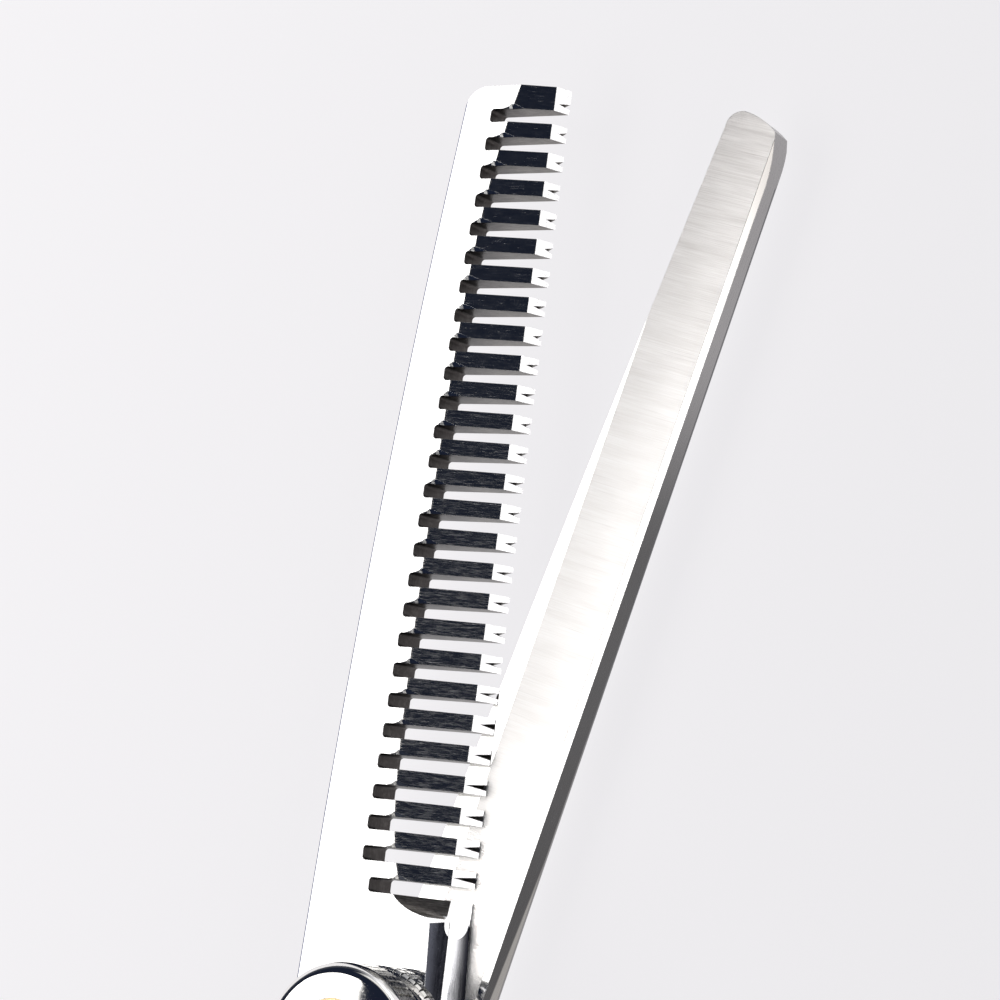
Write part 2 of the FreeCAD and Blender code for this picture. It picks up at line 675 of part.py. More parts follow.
def bumper():
    dome = Part.makeCylinder(BUMPER_R, BUMPER_THICK, bumper_axis_start(), V(1, 0, 0))
    outer = [edge for edge in dome.Edges if edge.BoundBox.XMin > BUMPER_SEAT_X + BUMPER_THICK / 2]
    dome = dome.makeFillet(BUMPER_ROUND, outer)
    return dome.cut(Part.makeCylinder(STUD_R, STUD_OUT, bumper_axis_start(), V(1, 0, 0)))


def bumper_stud():
    start = bumper_axis_start() - V(STUD_IN, 0, 0)
    return Part.makeCylinder(STUD_R, STUD_IN + STUD_OUT, start, V(1, 0, 0))


def bumper_boss():
    """The short boss on the finger handle that carries the bumper."""
    start = bumper_axis_start() - V(BUMPER_BOSS_LEN, 0, 0)
    return Part.makeCylinder(BUMPER_BOSS_R, BUMPER_BOSS_LEN, start, V(1, 0, 0))


def bumper_hole():
    return Part.makeCylinder(STUD_R, STUD_IN, bumper_axis_start() - V(STUD_IN, 0, 0), V(1, 0, 0))


def rest_frame():
    """Foot point and outward direction of the finger rest on the finger ring."""
    turn = math.radians(REST_TURN)
    outward = V(math.cos(turn), math.sin(turn), 0)
    foot = V(*FINGER_RING, RING_BAR_H) + outward * (RING_R + RING_BAR_W - REST_SEAT_IN)
    return foot, outward


def finger_rest():
    """A tapering hooked finger rest with a ball end, screwed on by its stud."""
    foot, outward = rest_frame()
    sideways = UP.cross(outward)
    centres = [foot + outward * reach + sideways * bend for reach, bend, _ in REST]
    wires = []
    for index, centre in enumerate(centres):
        before = centres[max(index - 1, 0)]
        after = centres[min(index + 1, len(centres) - 1)]
        heading = outward if index == 0 else after - before
        wires.append(Part.Wire([Part.makeCircle(REST[index][2], centre, heading)]))
    horn = Part.makeLoft(wires, True, False)
    horn = horn.fuse(Part.makeSphere(REST_BALL_R, centres[-1]))
    hole = Part.makeCylinder(REST_STUD_R, REST_STUD_OUT, foot, outward)
    return horn.cut(hole)


def finger_rest_stud():
    foot, outward = rest_frame()
    start = foot - outward * REST_STUD_IN
    return Part.makeCylinder(REST_STUD_R, REST_STUD_IN + REST_STUD_OUT, start, outward)


def rest_seat():
    """The flat and the tapped hole that the finger ring gives the finger rest."""
    foot, outward = rest_frame()
    flat = Part.makeCylinder(REST_BOSS_R + 0.4, 4.0, foot, outward)
    hole = Part.makeCylinder(REST_STUD_R, REST_STUD_IN, foot - outward * REST_STUD_IN, outward)
    return [flat, hole]


# ---- pivot --------------------------------------------------------------------------------
def head_key():
    return block((-BOLT_FLAT, -FAR, -DEEP), (BOLT_FLAT, FAR, DEEP))


def pivot_bolt():
    head = vertical(BOLT_HEAD_R, 0, BOLT_HEAD_T).common(head_key())
    body = head.fuse([vertical(BOLT_R, 0, DECK_Z + 0.2), vertical(BOLT_THREAD_R, 0, BOLT_TOP)])
    return body.removeSplitter().cut(vertical(SCREW_SHANK_R, BOLT_TOP - SCREW_LEN, BOLT_TOP + 1))


def bolt_seat():
    """The keyed pocket and the hole for the bolt in the plain blade."""
    pocket = vertical(BOLT_HEAD_R, -1, BOLT_HEAD_T).common(head_key())
    return [pocket, vertical(BOLT_R, -1, DEEP)]


def blade_washer():
    return ring_disc(WASHER_R, BOLT_R + RUN, LOW_INNER - WASHER_T, LOW_INNER)


def washer_seat():
    return vertical(WASHER_R, LOW_INNER - WASHER_T, DEEP)


def pivot_bush():
    sleeve = vertical(BUSH_R, TOP_INNER, DECK_Z)
    flange = vertical(BUSH_FLANGE_R, DECK_Z - BUSH_FLANGE_T, DECK_Z)
    return sleeve.fuse(flange).removeSplitter().cut(vertical(BOLT_R + RUN, 0, DEEP))


def bush_seat():
    return vertical(BUSH_R, 0, DEEP).fuse(vertical(BUSH_FLANGE_R, DECK_Z - BUSH_FLANGE_T, DEEP))


def cage_heights():
    """Floor of the ball track, and the underside of the upper race."""
    floor = DECK_Z + RACE_T
    return floor, floor + 2 * BALL_R + BALL_PLAY


def ball_places():
    floor, _ = cage_heights()
    height = floor + BALL_R + BALL_PLAY / 2
    for index in range(BALLS):
        turn = 2 * math.pi * index / BALLS
        yield V(BALL_CIRCLE_R * math.cos(turn), BALL_CIRCLE_R * math.sin(turn), height)


def bearing_balls():
    return Part.makeCompound([Part.makeSphere(BALL_R, place) for place in ball_places()])


def ball_cage():
    floor, ceiling = cage_heights()
    low = (floor + ceiling - CAGE_T) / 2
    cage = ring_disc(RACE_OUT_R - 0.1, RACE_IN_R + 0.1, low, low + CAGE_T)
    for place in ball_places():
        cage = cage.cut(vertical(CAGE_HOLE_R, low - 1, low + 2, place.x, place.y))
    return cage


def click_spring():
    """A thin sprung washer with three fingers that click on the knob."""
    _, ceiling = cage_heights()
    low = ceiling + RACE_T
    washer = ring_disc(RACE_OUT_R - 0.3, RACE_IN_R, low, low + SPRING_T)
    for index in range(3):
        finger = block((RACE_OUT_R - 0.6, -0.5, low), (RACE_OUT_R - 0.02, 0.5, low + SPRING_T))
        finger.rotate(V(0, 0, 0), UP, 120 * index)
        washer = washer.fuse(finger)
    return washer.removeSplitter()


def ribbed(body, low, high):
    """Cuts fine upright grooves round a rim."""
    grooves = []
    half = math.pi / RIBS * RIB_SHARE
    outer = KNOB_R + 0.3
    inner = KNOB_R - RIB_DEPTH
    for index in range(RIBS):
        turn = 2 * math.pi * index / RIBS
        points = (
            (inner * math.cos(turn), inner * math.sin(turn)),
            (outer * math.cos(turn - half), outer * math.sin(turn - half)),
            (outer * math.cos(turn + half), outer * math.sin(turn + half)),
        )
        grooves.append(prism(points, low, high))
    return body.cut(Part.makeCompound(grooves))


def detent_ring():
    ease = DETENT_EASE
    points = (
        (DETENT_IN_R, DECK_Z),
        (DETENT_OUT_R - ease, DECK_Z),
        (DETENT_OUT_R, DECK_Z + ease),
        (DETENT_OUT_R, DECK_Z + DETENT_T - ease),
        (DETENT_OUT_R - ease, DECK_Z + DETENT_T),
        (DETENT_IN_R, DECK_Z + DETENT_T),
    )
    return ribbed(turned(points), DECK_Z - 1, DECK_Z + DETENT_T + 1)


def tension_knob():
    """A spool-shaped nut: ribbed rim, waist, and a domed crown with a recess for cap and screw."""
    _, ceiling = cage_heights()
    chamber_top = ceiling + RACE_T + SPRING_T + 0.02
    bore = BOLT_THREAD_R + RUN
    points = (
        (bore, chamber_top),
        (KNOB_CHAMBER_R, chamber_top),
        (KNOB_CHAMBER_R, KNOB_BOTTOM),
        (KNOB_WAIST_R, KNOB_BOTTOM),
        (KNOB_WAIST_R, KNOB_RIM_LOW - 0.3),
        (KNOB_R - 0.1, KNOB_RIM_LOW),
        (KNOB_R, KNOB_RIM_LOW + 0.15),
        (KNOB_R, KNOB_RIM_TOP),
        (KNOB_SHOULDER_R, KNOB_SHOULDER_Z),
        (KNOB_RECESS_R + 0.1, KNOB_CROWN_Z),
        (KNOB_RECESS_R, KNOB_CROWN_Z - 0.1),
        (KNOB_RECESS_R, KNOB_RECESS_Z),
        (bore, KNOB_RECESS_Z),
    )
    rounding = points.index((KNOB_R, KNOB_RIM_TOP))
    bulges = ((rounding, KNOB_SHOULDER_MID), (rounding + 1, KNOB_CROWN_MID))
    return ribbed(turned(points, bulges), KNOB_RIM_LOW - 1, KNOB_RIM_TOP)


def knob_cap():
    """A gold-toned trim ring pressed into the knob's recess round the screw head."""
    points = (
        (CAP_HOLE_R, KNOB_RECESS_Z),
        (CAP_R, KNOB_RECESS_Z),
        (CAP_R, KNOB_RECESS_Z + CAP_T),
        (CAP_HOLE_R + 0.3, KNOB_RECESS_Z + CAP_T + 0.1),
        (CAP_HOLE_R, KNOB_RECESS_Z + CAP_T - 0.1),
    )
    return turned(points)


def retaining_screw():
    """A slotted screw in the bolt's end that keeps the knob from coming off."""
    low = KNOB_RECESS_Z + 0.04
    head = turned((
        (0, low),
        (SCREW_HEAD_R, low),
        (SCREW_HEAD_R, low + SCREW_HEAD_T * 0.6),
        (SCREW_HEAD_R * 0.75, low + SCREW_HEAD_T),
        (0, low + SCREW_HEAD_T),
    ))
    screw = head.fuse(vertical(SCREW_SHANK_R, BOLT_TOP - SCREW_LEN, low + 0.1))
    half = SCREW_SLOT_W / 2
    slot_cut = block((-FAR, -half, low + SCREW_HEAD_T * 0.45), (FAR, half, DEEP))
    slot_cut.rotate(V(0, 0, 0), UP, SCREW_SLOT_TURN)
    return screw.cut(slot_cut).removeSplitter()


def main():
    toothed = forged_half(toothed_blade_body(), THUMB_RING, 1)
    toothed = toothed.cut(bush_seat())
    plain = forged_half(plain_blade_body(), FINGER_RING, -1, [bumper_boss()])
    plain = plain.cut(bolt_seat() + [washer_seat(), bumper_hole()] + rest_seat())
    toothed_blade, thumb_handle = split_at_weld(toothed)
    plain_blade, finger_handle = split_at_weld(plain)
    floor, ceiling = cage_heights()

    turns_with_thumb = {
        "toothed_blade": toothed_blade,
        "thumb_handle": thumb_handle,
        "thumb_ring_liner": liner(THUMB_RING),
        "pivot_bush": pivot_bush(),
        "detent_ring": detent_ring(),
        "thrust_race_lower": ring_disc(RACE_OUT_R, RACE_IN_R, DECK_Z, floor),
    }
    turns_with_finger = {
        "plain_blade": plain_blade,
        "finger_handle": finger_handle,
        "finger_ring_liner": liner(FINGER_RING),
        "pivot_bolt": pivot_bolt(),
        "blade_washer": blade_washer(),
        "bumper": bumper(),
        "bumper_stud": bumper_stud(),
        "finger_rest": finger_rest(),
        "finger_rest_stud": finger_rest_stud(),
        "retaining_screw": retaining_screw(),
    }
    stays = {
        "bearing_balls": bearing_balls(),
        "ball_cage": ball_cage(),
        "thrust_race_upper": ring_disc(RACE_OUT_R, RACE_IN_R, ceiling, ceiling + RACE_T),
        "click_spring": click_spring(),
        "tension_knob": tension_knob(),
        "knob_cap": knob_cap(),
    }
    os.makedirs("parts", exist_ok=True)
    groups = ((turns_with_thumb, OPENING / 2), (turns_with_finger, -OPENING / 2), (stays, 0.0))
    for group, turn in groups:
        for name, shape in group.items():
            shape.rotate(V(0, 0, 0), UP, turn)
            shape.exportStep("parts/" + name + ".step")
            box = shape.BoundBox
            state = "ok" if shape.isValid() else "NOT VALID"
            sizes = " ".join(f"{value:8.2f}" for value in (
                box.XMin, box.XMax, box.YMin, box.YMax, box.ZMin, box.ZMax))
            print(f"{name:20s} {state} solids {len(shape.Solids)} volume {shape.Volume:9.2f} box {sizes}")


main()
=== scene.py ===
import math

import bpy
from mathutils import Matrix, Vector

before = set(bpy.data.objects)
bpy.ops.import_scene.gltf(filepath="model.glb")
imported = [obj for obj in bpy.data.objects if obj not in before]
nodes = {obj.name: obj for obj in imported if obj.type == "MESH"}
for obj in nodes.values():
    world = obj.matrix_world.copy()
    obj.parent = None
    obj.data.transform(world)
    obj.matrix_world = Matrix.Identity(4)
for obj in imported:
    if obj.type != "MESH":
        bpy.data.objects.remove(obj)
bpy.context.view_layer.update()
scene = bpy.context.scene

# ---- the object ------------------------------------------------------------------------------
MM = 0.001                           # a millimetre in the frame's metres
HALF_OPENING = 7.1                   # degrees that each half is turned from the closed position
EDGE_R = 0.05 * MM                   # rounding that the edges show
EDGE_SAMPLES = 4
BUFFED_EDGE_R = 0.10 * MM            # rounding of the polished outer face's edges

# Places on the closed blades, in millimetres from the pivot: X across, Y along, Z up.
TOP_INNER_Z = 3.115                  # inner face of the toothed blade
HEEL_LOW_Y = -7.5                    # ends of the heel below the teeth
HEEL_TOP_Y = 8.75
TEETH_FROM_Y = 10.0
LAST_SLOT_LOW_Y = 10.2
# heights over the toothed blade's inner face
HEEL_WALL_TOP = 1.0
HEEL_CHAMFER_LOW = 1.36
HEEL_FACET_LOW = 1.7                 # the dull facet below the last slot lies above this one
# the polished ride lines lie outside these, across the blade
TOOTHED_RIDES = (-5.6, 3.3)
PLAIN_RIDES = (-0.57, 4.1)
# a painted dark reflection runs along the toothed blade's spine, an arc through these points
SPINE_ARC = ((-6.9, 2.5), (-5.32, 34.0), (-2.95, 64.5))
RIB_ROOT_R = 5.1                     # the ribs of knob and detent ring lie outside this radius

# ---- camera, studio light and floor, in metres and degrees -------------------------------------
CAMERA_AIM = Vector((-0.00214, 0.03731, 0.0031))
CAMERA_DISTANCE = 0.19402
CAMERA_AZIMUTH = 79.56
CAMERA_ELEVATION = 58.53
CAMERA_ROLL = 13.2
CAMERA_LENS = 103.06                 # focal length in millimetres
CAMERA_NEAR = 0.005
CAMERA_FAR = 50

# The studio's softboxes are rectangles on a ceiling at height 1 above the part: (left, right,
# near, far) edges, softness of the edges, strength and tint.
CEILING = (
    ((-1.45, -0.50, -1.3, 0.46), 0.035, 2.7, (1.0, 0.985, 0.965)),
    ((0.9, 2.6, -1.5, 1.2), 0.15, 1.3, (0.97, 0.98, 1.0)),
    ((-0.9, 0.9, 1.9, 3.6), 0.3, 0.9, (1.0, 0.99, 0.97)),
)
CEILING_LOW = 0.02                   # sine of the elevation down to which the ceiling is worked out
CEILING_FADE = (0.1, 0.2)            # and the sines between which its softboxes fade in
ZENITH = (0.011, 0.015, 0.029)       # dark blue studio ceiling
HORIZON_LEFT = (0.05, 0.055, 0.07)
HORIZON_RIGHT = (2.6, 2.6, 2.65)
HORIZON_TURN = (-0.5, 0.6)           # X of the direction over which left turns into right
HORIZON_TOP = 0.30                   # sine of the elevation where the bright band on the right ends
HORIZON_SOFT = 0.12                  # height of the change below it
LIGHT_MAP_SIZE = 2048                # of the map from which the renderer picks the light's directions

FLOOR_SIZE = 8.0
FLOOR_DROP = 0.0003
FLOOR_TINT = (0.12, 0.12, 0.12)
FLOOR_ROUGHNESS = 0.9
FLOOR_GLOW_LEFT = (0.90, 0.885, 0.905)
FLOOR_GLOW_RIGHT = (0.775, 0.765, 0.785)
FLOOR_STRENGTH = 0.96
FLOOR_TURN = 0.10                    # half width of the change from the left to the right tone


def direction(azimuth, elevation):
    a = math.radians(azimuth)
    e = math.radians(elevation)
    return Vector((math.sin(a) * math.cos(e), -math.cos(a) * math.cos(e), math.sin(e)))


def add_camera():
    back = direction(CAMERA_AZIMUTH, CAMERA_ELEVATION)
    up = Vector((0, 1, 0)) - back * back.y
    up = Matrix.Rotation(math.radians(CAMERA_ROLL), 3, back) @ up.normalized()
    right = up.cross(back)
    turn = Matrix((right, up, back)).transposed().to_4x4()
    camera = bpy.data.objects.new("camera", bpy.data.cameras.new("camera"))
    camera.matrix_world = Matrix.Translation(CAMERA_AIM + back * CAMERA_DISTANCE) @ turn
    camera.data.lens = CAMERA_LENS
    camera.data.clip_start = CAMERA_NEAR
    camera.data.clip_end = CAMERA_FAR
    scene.collection.objects.link(camera)
    scene.camera = camera


# ---- shader building blocks --------------------------------------------------------------------
class Graph:
    """A short way to write a node tree."""

    def __init__(self, tree):
        self.tree = tree

    def node(self, kind, inputs=(), **settings):
        made = self.tree.nodes.new(kind)
        for key, value in settings.items():
            setattr(made, key, value)
        for key, value in dict(inputs).items():
            self.put(made.inputs[key], value)
        return made

    def put(self, socket, value):
        if isinstance(value, bpy.types.NodeSocket):
            self.tree.links.new(value, socket)
        elif isinstance(value, (tuple, list)) and socket.type == "RGBA" and len(value) == 3:
            socket.default_value = (*value, 1)
        else:
            socket.default_value = value

    def math(self, operation, a, b=0.0, clamp=False):
        made = self.node("ShaderNodeMath", {0: a, 1: b}, operation=operation, use_clamp=clamp)
        return made.outputs[0]

    def total(self, first, *others):
        for other in others:
            first = self.math("ADD", first, other)
        return first

    def scale(self, value, low, high, to_low=0.0, to_high=1.0, smooth=True):
        """Takes the range from low to high to another one, and holds the value at its ends."""
        kind = "SMOOTHSTEP" if smooth else "LINEAR"
        made = self.node("ShaderNodeMapRange", {0: value, 1: low, 2: high, 3: to_low, 4: to_high},
                         interpolation_type=kind)
        return made.outputs[0]

    def mix(self, factor, a, b, blend="MIX"):
        made = self.node("ShaderNodeMix", {0: factor, 6: a, 7: b}, data_type="RGBA", blend_type=blend)
        return made.outputs[2]

    def noise(self, vector, scale, detail, roughness=0.6):
        made = self.node("ShaderNodeTexNoise", {"Vector": vector, "Scale": scale, "Detail": detail,
                                                "Roughness": roughness})
        return made.outputs[0]

    def place(self, vector, scale=(1, 1, 1), turn=0.0, move=(0, 0, 0)):
        made = self.node("ShaderNodeMapping", {"Vector": vector, "Scale": scale, "Location": move,
                                               "Rotation": (0, 0, math.radians(turn))})
        return made.outputs[0]

    def marks(self, place, per_unit, detail, roughness=0.6, variant=0.0):
        """Noise with so many marks per unit of length along each axis. Another variant, an angle,
        turns the noise after its stretch, so it gives other marks with the same direction."""
        return self.noise(self.place(place, per_unit, variant), 1.0, detail, roughness)

    def split(self, vector):
        return self.node("ShaderNodeSeparateXYZ", {0: vector}).outputs

    def reach(self, place, centre=(0.0, 0.0)):
        """Distance from a centre in the XY plane."""
        x, y = centre
        flat = self.place(place, (1, 1, 0), move=(-x, -y, 0))
        return self.node("ShaderNodeVectorMath", {0: flat}, operation="LENGTH").outputs["Value"]

    def bump(self, height, depth, strength, edge=0.0):
        """Marks on a surface whose sharp edges look rounded to the radius edge."""
        made = self.node("ShaderNodeBump", {"Height": height, "Distance": depth, "Strength": strength})
        if edge:
            rounded = self.node("ShaderNodeBevel", {"Radius": edge}, samples=EDGE_SAMPLES)
            self.put(made.inputs["Normal"], rounded.outputs[0])
        return made.outputs[0]


class Surface(Graph):
    """A new material, written as a graph around its one shader."""

    def __init__(self, name, metallic=1.0):
        self.material = bpy.data.materials.new(name)
        self.material.use_nodes = True
        super().__init__(self.material.node_tree)
        self.set(Metallic=metallic)

    def set(self, **looks):
        """Sets the shader's inputs, named with _ for a space, and gives the material back."""
        shader = self.tree.nodes["Principled BSDF"]
        for name, value in looks.items():
            self.put(shader.inputs[name.replace("_", " ")], value)
        return self.material

    def where(self):
        return self.node("ShaderNodeTexCoord").outputs["Object"]

    def blade_place(self, turn):
        """Object coordinates in millimetres, turned so that Y runs along the closed blade."""
        return self.place(self.where(), (1 / MM, 1 / MM, 1 / MM), turn)


def add_world():
    world = bpy.data.worlds.new("studio")
    world.use_nodes = True
    g = Graph(world.node_tree)
    x, y, z = g.split(g.node("ShaderNodeTexCoord").outputs["Generated"])
    height = g.math("MAXIMUM", z, CEILING_LOW)
    across = g.math("DIVIDE", x, height)
    along = g.math("DIVIDE", y, height)
    horizon = g.mix(g.scale(x, *HORIZON_TURN), HORIZON_LEFT, HORIZON_RIGHT)
    colour = g.mix(g.scale(z, HORIZON_TOP, HORIZON_TOP - HORIZON_SOFT), ZENITH, horizon)
    for (left, right, near, far), soft, strength, tint in CEILING:
        mask = g.scale(across, left - soft, left + soft)
        mask = g.math("MULTIPLY", mask, g.scale(across, right + soft, right - soft))
        mask = g.math("MULTIPLY", mask, g.scale(along, near - soft, near + soft))
        mask = g.math("MULTIPLY", mask, g.scale(along, far + soft, far - soft))
        mask = g.math("MULTIPLY", mask, g.scale(z, *CEILING_FADE))
        colour = g.mix(mask, colour, tuple(strength * part for part in tint))
    background = world.node_tree.nodes["Background"]
    g.put(background.inputs["Color"], colour)
    world.cycles.sampling_method = "MANUAL"
    world.cycles.sample_map_resolution = LIGHT_MAP_SIZE
    scene.world = world


def add_floor():
    half = FLOOR_SIZE / 2
    z = -FLOOR_DROP
    corners = [(-half, -half, z), (half, -half, z), (half, half, z), (-half, half, z)]
    mesh = bpy.data.meshes.new("floor")
    mesh.from_pydata(corners, [], [(0, 1, 2, 3)])
    floor = bpy.data.objects.new("floor", mesh)
    scene.collection.objects.link(floor)
    g = Surface("paper", metallic=0.0)
    x, _, _ = g.split(g.where())
    glow = g.mix(g.scale(x, -FLOOR_TURN, FLOOR_TURN), FLOOR_GLOW_LEFT, FLOOR_GLOW_RIGHT)
    paper = g.set(Base_Color=FLOOR_TINT, Roughness=FLOOR_ROUGHNESS, Specular_IOR_Level=0.0,
                  Emission_Color=glow, Emission_Strength=FLOOR_STRENGTH)
    mesh.materials.append(paper)


add_camera()
add_world()
add_floor()
scene.view_settings.view_transform = "Standard"


# ---- materials ----------------------------------------------------------------------------------
# Colours are linear RGB. A ..._BAND is a pair of noise values, and between the two the look changes.
# A ..._Y, ..._X or ..._Z is a place or a pair of them on the closed blade, in millimetres. A
# ..._ROUGH is a pair of roughness values, or how much a mark adds to the roughness. A ..._STRENGTH
# is how much of the relief of the marks shows.
GRAIN_BAND = (0.3, 0.7)
WIDE_BAND = (0.3, 0.75)
# depths of the marks
SHALLOW = 0.01 * MM
FINE = 0.02 * MM
COARSE = 0.03 * MM


def circle_through(first, second, third):
    """Centre and radius of the circle through three points."""
    (x1, y1), (x2, y2), (x3, y3) = first, second, third
    p = (x2 * x2 - x1 * x1 + y2 * y2 - y1 * y1) / 2
    q = (x3 * x3 - x1 * x1 + y3 * y3 - y1 * y1) / 2
    base = (x2 - x1) * (y3 - y1) - (x3 - x1) * (y2 - y1)
    x = (p * (y3 - y1) - q * (y2 - y1)) / base
    y = ((x2 - x1) * q - (x3 - x1) * p) / base
    return (x, y), math.hypot(x1 - x, y1 - y)


MIRROR = (0.90, 0.90, 0.905)
# painted dark bluish reflection along the spine's rounded edge
SPINE_REFLECTION = (0.10, 0.11, 0.17)
SPINE_REFLECTION_EDGE = (0.104, 0.056)     # millimetres inside the arc where it begins and is full
SPINE_REFLECTION_UP = (0.4, 0.7)           # Z of the normal over which it comes in: the wall has none
WIPE_BAND = (0.35, 0.7)
WIPE_ROUGH = (0.025, 0.075)
HAIR_BAND = (0.62, 0.74)
HAIR_ROUGH = 0.05
HAIR_STRENGTH = 0.15


def polished_face(turn):
    """Mirror polish with faint wipe marks and hairlines, and a painted dark reflection along the
    spine's edge.
    """
    g = Surface("polished_face")
    place = g.blade_place(turn)
    centre, radius = circle_through(*SPINE_ARC)
    begin, full = SPINE_REFLECTION_EDGE
    line = g.scale(g.reach(place, centre), radius - begin, radius - full)
    _, _, up = g.split(g.node("ShaderNodeNewGeometry").outputs["Normal"])
    line = g.math("MULTIPLY", line, g.scale(up, *SPINE_REFLECTION_UP))
    wipes = g.marks(place, (0.25, 0.06, 0.25), 4, variant=24)
    hairs = g.marks(place, (9.0, 0.25, 1.0), 2, roughness=0.5, variant=8)
    rough = g.total(g.scale(wipes, *WIPE_BAND, *WIPE_ROUGH),
                    g.scale(hairs, *HAIR_BAND, 0.0, HAIR_ROUGH))
    return g.set(Base_Color=g.mix(line, MIRROR, SPINE_REFLECTION), Roughness=rough,
                 Normal=g.bump(hairs, FINE, HAIR_STRENGTH, BUFFED_EDGE_R))


FACET_LOW = (0.70, 0.69, 0.66)
FACET_HIGH = (0.94, 0.92, 0.90)
FACET_BAND = (0.52, 0.72)
FACET_ROUGH = (0.10, 0.24)
FACET_DULL_Y = (56.0, 30.0)          # toward the heel the facets grow duller
FACET_DULL_BAND = (0.35, 0.65)
FACET_DULL_ROUGH = (0.03, 0.13)
FACET_STRENGTH = 0.4
SPECK_BAND = (0.68, 0.80)
SPECK_ROUGH = 0.2
SPECK_HEIGHT = 0.3
SCRATCH_BAND = (0.58, 0.74)
SCRATCHED_BAND = (0.45, 0.6)         # scratches show on the streaks with these noise values
SCRATCH_ROUGH = 0.14
SCRATCH_DEPTH = 0.4


def tooth_facet(turn):
    """Ground facet: streaks along the tooth, fine rough specks and stray scratches."""
    g = Surface("tooth_facet")
    place = g.blade_place(turn)
    streaks = g.marks(place, (0.7, 15.0, 3.0), 4, roughness=0.65, variant=3)
    stray = g.marks(place, (1.2, 11.0, 3.0), 2, roughness=0.5, variant=38)
    specks = g.scale(g.marks(place, (7.0, 13.0, 7.0), 3, roughness=0.7), *SPECK_BAND)
    scratch = g.math("MULTIPLY", g.scale(stray, *SCRATCH_BAND), g.scale(streaks, *SCRATCHED_BAND))
    _, along, _ = g.split(place)
    dull = g.scale(streaks, *FACET_DULL_BAND, *FACET_DULL_ROUGH)
    rough = g.total(g.scale(streaks, *WIDE_BAND, *FACET_ROUGH),
                    g.math("MULTIPLY", specks, SPECK_ROUGH),
                    g.math("MULTIPLY", g.scale(along, *FACET_DULL_Y), dull),
                    g.math("MULTIPLY", scratch, SCRATCH_ROUGH))
    height = g.total(streaks, g.math("MULTIPLY", specks, SPECK_HEIGHT))
    height = g.math("SUBTRACT", height, g.math("MULTIPLY", scratch, SCRATCH_DEPTH))
    return g.set(Base_Color=g.mix(g.scale(streaks, *FACET_BAND), FACET_LOW, FACET_HIGH),
                 Roughness=rough, Normal=g.bump(height, FINE, FACET_STRENGTH, EDGE_R))


FLANK_LOW = (0.10, 0.093, 0.088)
FLANK_HIGH = (0.25, 0.235, 0.215)
# painted shade in the slot's root
FLANK_ROOT_SHADE = (0.042, 0.0357, 0.0336)
FLANK_SHADE_X = (-0.4, 1.6)           # the painted shade in the slot's root ends between these
FLANK_SHADE_UNEVEN = (-0.2, 0.2)            # and is uneven by this share of them
FLANK_ROUGHNESS = 0.36
FLANK_STRENGTH = 0.6


def tooth_flank(turn):
    """Sides of the teeth and slot ends as the slotting saw left them, with painted shade in the slot's
    root.
    """
    g = Surface("tooth_flank")
    place = g.blade_place(turn)
    saw = g.marks(place, (2.0, 2.0, 16.0), 4)
    shade_wobble = g.marks(place, (1.1, 2.0, 1.6), 3)
    across, _, _ = g.split(place)
    root_unshaded = g.math("SUBTRACT", g.scale(across, *FLANK_SHADE_X, smooth=False),
                   g.scale(shade_wobble, *GRAIN_BAND, *FLANK_SHADE_UNEVEN))
    shade = g.mix(g.scale(saw, *GRAIN_BAND), FLANK_LOW, FLANK_HIGH)
    return g.set(Base_Color=g.mix(root_unshaded, FLANK_ROOT_SHADE, shade), Roughness=FLANK_ROUGHNESS,
                 Normal=g.bump(saw, COARSE, FLANK_STRENGTH, EDGE_R))


WHEEL_LOW = (0.14, 0.128, 0.118)
WHEEL_HIGH = (0.30, 0.28, 0.262)
WHEEL_SPECK_BAND = (0.35, 0.7)
WHEEL_ROUGH = (0.34, 0.5)
WHEEL_STRENGTH = 0.6


def ground_facet(turn):
    """Dull facet below the last slot, with the marks of the wheel."""
    g = Surface("ground_facet")
    place = g.blade_place(turn)
    wheel = g.marks(place, (1.2, 16.0, 3.0), 4, roughness=0.65, variant=-28)
    specks = g.marks(place, (8.0, 8.0, 8.0), 2)
    return g.set(Base_Color=g.mix(g.scale(wheel, *WIDE_BAND), WHEEL_LOW, WHEEL_HIGH),
                 Roughness=g.scale(specks, *WHEEL_SPECK_BAND, *WHEEL_ROUGH),
                 Normal=g.bump(wheel, COARSE, WHEEL_STRENGTH, EDGE_R))


CHAMFER_LOW = (0.012, 0.013, 0.018)
CHAMFER_HIGH = (0.035, 0.036, 0.045)
# painted bluish reflection along the chamfer's crest, between the heights given below
CHAMFER_CREST_REFLECTION = (0.11, 0.115, 0.14)
CHAMFER_REFLECTION_Z = (TOP_INNER_Z + 1.9, TOP_INNER_Z + 2.95)
CHAMFER_SPECK = (0.16, 0.16, 0.18)
CHAMFER_SPECK_BAND = (0.60, 0.76)
CHAMFER_ROUGH = (0.24, 0.4)
CHAMFER_STRENGTH = 0.5


def dark_chamfer(turn):
    """The chamfer beside the flat face below the teeth: very dark, specked, with a painted bluish
    reflection at its crest.
    """
    g = Surface("dark_chamfer")
    place = g.blade_place(turn)
    specks = g.marks(place, (9.0, 9.0, 9.0), 3, roughness=0.7)
    grain = g.marks(place, (5.0, 1.2, 5.0), 4)
    _, _, height = g.split(place)
    shade = g.mix(g.scale(grain, *WIDE_BAND), CHAMFER_LOW, CHAMFER_HIGH)
    shade = g.mix(g.scale(height, *CHAMFER_REFLECTION_Z), shade, CHAMFER_CREST_REFLECTION)
    shade = g.mix(g.scale(specks, *CHAMFER_SPECK_BAND), shade, CHAMFER_SPECK)
    return g.set(Base_Color=shade, Roughness=g.scale(grain, *GRAIN_BAND, *CHAMFER_ROUGH),
                 Normal=g.bump(specks, FINE, CHAMFER_STRENGTH, EDGE_R))


